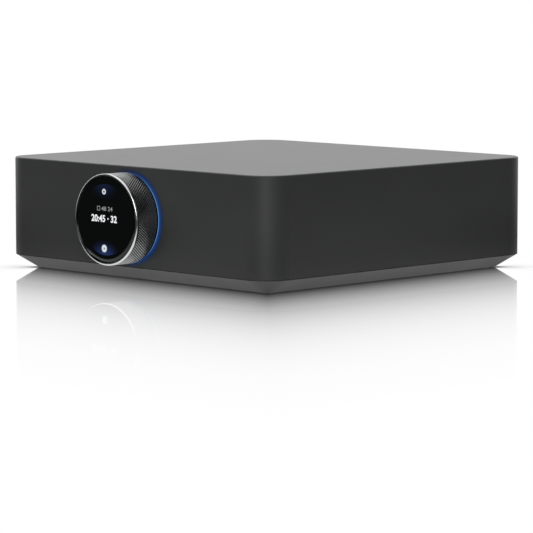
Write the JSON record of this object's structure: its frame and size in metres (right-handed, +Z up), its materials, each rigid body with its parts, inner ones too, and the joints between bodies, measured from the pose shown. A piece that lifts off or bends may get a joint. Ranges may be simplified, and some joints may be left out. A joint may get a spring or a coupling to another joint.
{
  "type": "audio amplifier",
  "caption": "Low square stereo amplifier with a knurled front dial around a round display, a lit ring, and a rear socket panel.",
  "frame": {"origin": "on the table under the middle of the case, centred between the display glass's rim in front and the terminal studs' ends behind", "axes": "+Z up, front towards -Y, +X to the right as seen from the front"},
  "size_m": [0.22, 0.2568, 0.0658],
  "materials": {
    "case_aluminium": "dark grey, bead-blasted and anodised",
    "tray_paint": "dark grey, fine satin",
    "foot_rubber": "matt",
    "screw_steel": "blackened zinc",
    "panel_plastic": "fine spark-eroded texture",
    "socket_plastic": "satin",
    "socket_metal": "nickel plated",
    "gold_plate": "gold plated",
    "dial_aluminium": "dark anodised, diamond knurled",
    "polished_lip": "diamond cut",
    "bearing_plastic": "acetal",
    "magnet": "bonded ferrite",
    "hub_aluminium": "turned",
    "cover_glass": "black-backed, polished",
    "display_face": "laminated",
    "light_plastic": "translucent, lit blue",
    "circuit_board": "solder mask",
    "lamp_body": "white",
    "chip_plastic": "moulded",
    "sink_aluminium": "extruded",
    "ferrite": "sintered",
    "winding_tape": "polyester tape",
    "capacitor_sleeve": "shrunk sleeve",
    "module_can": "tinned",
    "ribbon_film": "polyimide",
    "cap_red": "moulded",
    "cap_black": "moulded",
    "phono_plastic": "moulded"
  },
  "bodies": {
    "chassis": {"housing_shell": "case_aluminium", "base_tray": "tray_paint", "base_feet": "foot_rubber", "base_screws": "screw_steel", "rear_panel": "panel_plastic", "panel_screws": "screw_steel", "dial_hub": "hub_aluminium", "inner_screws": "screw_steel", "display_frame": "socket_plastic", "display_module": "display_face", "cover_glass": "cover_glass", "display_ribbon": "ribbon_film", "light_ring": "light_plastic", "lamp_board": "circuit_board", "ring_lamps": "lamp_body", "control_board": "circuit_board", "board_posts": "gold_plate", "amplifier_board": "circuit_board", "main_board": "circuit_board", "power_board": "circuit_board", "mains_inlet": "socket_plastic", "inlet_pins": "socket_metal", "ethernet_jack": "socket_metal", "hdmi_jack": "socket_metal", "hdmi_tongue": "socket_plastic", "optical_jack": "socket_plastic", "phono_block": "socket_plastic", "phono_sleeves": "gold_plate", "phono_inserts": "phono_plastic", "setup_switch": "socket_plastic", "terminal_plate": "socket_plastic", "terminal_studs": "gold_plate", "terminal_nuts": "gold_plate", "heatsink": "sink_aluminium", "output_inductors": "ferrite", "transformer_core": "ferrite", "transformer_winding": "winding_tape", "cooling_plate": "sink_aluminium", "power_transistors": "chip_plastic", "mains_choke": "ferrite", "mains_fuse": "phono_plastic", "network_module": "module_can", "board_links": "socket_plastic", "antenna_strips": "circuit_board", "circuit_chips": "chip_plastic", "board_capacitors": "capacitor_sleeve"},
    "dial": {"dial_grip": "dial_aluminium", "dial_trim": "polished_lip", "dial_bushing": "bearing_plastic", "encoder_magnet": "magnet"},
    "left_plus_washer": {"left_plus_washer": "gold_plate"},
    "left_plus_cap": {"left_plus_cap": "cap_red"},
    "left_minus_washer": {"left_minus_washer": "gold_plate"},
    "left_minus_cap": {"left_minus_cap": "cap_black"},
    "right_plus_washer": {"right_plus_washer": "gold_plate"},
    "right_plus_cap": {"right_plus_cap": "cap_red"},
    "right_minus_washer": {"right_minus_washer": "gold_plate"},
    "right_minus_cap": {"right_minus_cap": "cap_black"},
    "setup_button": {"setup_button": "socket_plastic"},
    "optical_shutter": {"optical_shutter": "socket_plastic"}
  },
  "joints": [
    {"name": "dial_turn", "type": "hinge", "parent": "chassis", "child": "dial", "pos_m": [0, -0.12, 0.03655], "axis": [0, 1, 0], "continuous": true},
    {"name": "left_plus_travel", "type": "slide", "parent": "chassis", "child": "left_plus_washer", "axis": [0, 1, 0], "range_m": [0, 0.005]},
    {"name": "left_plus_turn", "type": "hinge", "parent": "left_plus_washer", "child": "left_plus_cap", "pos_m": [-0.074, 0.12, 0.04657], "axis": [0, 1, 0], "range_deg": [0, 1800]},
    {"name": "left_minus_travel", "type": "slide", "parent": "chassis", "child": "left_minus_washer", "axis": [0, 1, 0], "range_m": [0, 0.005]},
    {"name": "left_minus_turn", "type": "hinge", "parent": "left_minus_washer", "child": "left_minus_cap", "pos_m": [-0.074, 0.12, 0.02753], "axis": [0, 1, 0], "range_deg": [0, 1800]},
    {"name": "right_plus_travel", "type": "slide", "parent": "chassis", "child": "right_plus_washer", "axis": [0, 1, 0], "range_m": [0, 0.005]},
    {"name": "right_plus_turn", "type": "hinge", "parent": "right_plus_washer", "child": "right_plus_cap", "pos_m": [-0.052, 0.12, 0.04657], "axis": [0, 1, 0], "range_deg": [0, 1800]},
    {"name": "right_minus_travel", "type": "slide", "parent": "chassis", "child": "right_minus_washer", "axis": [0, 1, 0], "range_m": [0, 0.005]},
    {"name": "right_minus_turn", "type": "hinge", "parent": "right_minus_washer", "child": "right_minus_cap", "pos_m": [-0.052, 0.12, 0.02753], "axis": [0, 1, 0], "range_deg": [0, 1800]},
    {"name": "setup_press", "type": "slide", "parent": "chassis", "child": "setup_button", "axis": [0, -1, 0], "range_m": [0, 0.00035], "stiffness_N_per_m": 800, "springref_m": -0.0005},
    {"name": "shutter_swing", "type": "hinge", "parent": "chassis", "child": "optical_shutter", "pos_m": [0.0017, 0.109, 0.0297], "axis": [-1, 0, 0], "range_deg": [0, 84], "stiffness_Nm_per_rad": 0.002, "springref_deg": -17.19}
  ],
  "couplings": [
    {"joint": "left_plus_turn", "follows": "left_plus_travel", "rad_per_m": 6283.2},
    {"joint": "left_minus_turn", "follows": "left_minus_travel", "rad_per_m": 6283.2},
    {"joint": "right_plus_turn", "follows": "right_plus_travel", "rad_per_m": 6283.2},
    {"joint": "right_minus_turn", "follows": "right_minus_travel", "rad_per_m": 6283.2}
  ]
}
